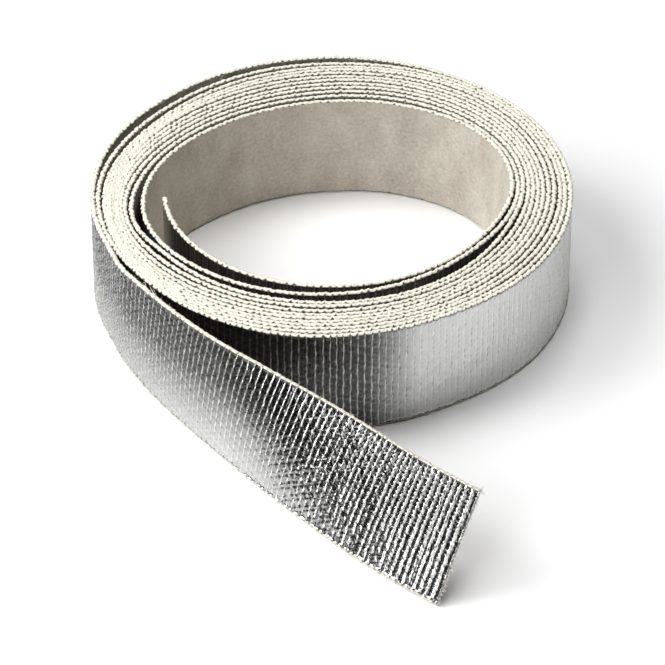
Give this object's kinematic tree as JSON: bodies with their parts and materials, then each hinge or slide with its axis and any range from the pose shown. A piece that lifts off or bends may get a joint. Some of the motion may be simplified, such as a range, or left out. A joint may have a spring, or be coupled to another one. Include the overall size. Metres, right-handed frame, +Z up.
{
  "type": "coil of heat shield tape",
  "caption": "Strip of aluminised woven glass heat shield tape wound into a coil that stands on its edge, with a loose inner end and a free outer end swung out to the front.",
  "frame": {"origin": "centre of the bounding box's bottom face, on the floor that the coil stands on", "axes": "+Z up along the coil's axis, +X to the coil's right as seen from the free end's side, -Y to the front, where the free end runs out"},
  "size_m": [0.147, 0.2256, 0.035],
  "materials": {
    "foil_faced_glass_tape": "embossed bright foil outside, matte grey backing inside, cream woven glass edges"
  },
  "bodies": {
    "root": {"heat_shield_tape": "foil_faced_glass_tape"}
  },
  "joints": []
}
